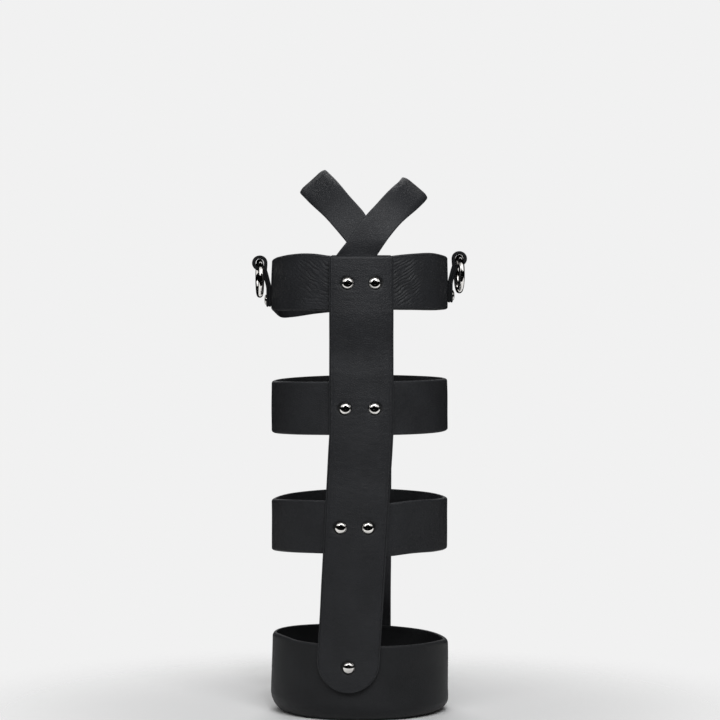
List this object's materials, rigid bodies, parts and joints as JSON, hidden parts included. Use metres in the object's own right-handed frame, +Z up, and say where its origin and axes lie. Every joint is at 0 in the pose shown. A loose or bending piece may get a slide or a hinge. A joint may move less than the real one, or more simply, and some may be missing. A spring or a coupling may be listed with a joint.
{
  "type": "bottle carrier",
  "caption": "Leather bottle carrier: banded open cage with a moulded base cup, long riveted panels, crossed shoulder straps and side rings for a carrying strap.",
  "frame": {"origin": "middle of the base cup's underside, on the bottle's axis", "axes": "+Z up along the bottle; the front, with the leaning panel, faces -Y; +X is the right side seen from the front, under the shoulder strap that lies on top"},
  "size_m": [0.0986, 0.092, 0.2495],
  "materials": {
    "leather": "matte fine grain",
    "cup_leather": "matte, moulded smooth",
    "nickel": "bright nickel plate"
  },
  "bodies": {
    "carrier": {"front_panel": "leather", "back_panel": "leather", "upper_band": "leather", "middle_band": "leather", "lower_band": "leather", "base_cup": "cup_leather", "right_strap_ends": "leather", "left_strap_ends": "leather", "right_ring_keeper": "leather", "left_ring_keeper": "leather", "front_upper_rivets": "nickel", "front_middle_rivets": "nickel", "front_lower_rivets": "nickel", "front_cup_rivet": "nickel", "back_upper_rivets": "nickel", "back_middle_rivets": "nickel", "back_lower_rivets": "nickel", "back_cup_rivet": "nickel", "right_keeper_rivet": "nickel", "left_keeper_rivet": "nickel", "upper_band_washers": "nickel", "middle_band_washers": "nickel", "lower_band_washers": "nickel", "cup_washers": "nickel", "keeper_washers": "nickel"},
    "right_strap": {"right_shoulder_strap": "leather"},
    "left_strap": {"left_shoulder_strap": "leather"},
    "right_ring": {"right_ring": "nickel"},
    "left_ring": {"left_ring": "nickel"}
  },
  "joints": [
    {"name": "right_strap_open", "type": "hinge", "parent": "carrier", "child": "right_strap", "pos_m": [0.00846, 0, 0.2123], "axis": [0, 1, 0], "range_deg": [0, 51.3], "stiffness_Nm_per_rad": 0.06},
    {"name": "left_strap_open", "type": "hinge", "parent": "carrier", "child": "left_strap", "pos_m": [-0.00288, 0, 0.21108], "axis": [0, -1, 0], "range_deg": [0, 48], "stiffness_Nm_per_rad": 0.06},
    {"name": "right_ring_swing", "type": "hinge", "parent": "carrier", "child": "right_ring", "pos_m": [0.046, 0, 0.2086], "axis": [0, -1, 0], "range_deg": [0, 170]},
    {"name": "left_ring_swing", "type": "hinge", "parent": "carrier", "child": "left_ring", "pos_m": [-0.046, 0, 0.2066], "axis": [0, 1, 0], "range_deg": [0, 170]}
  ]
}
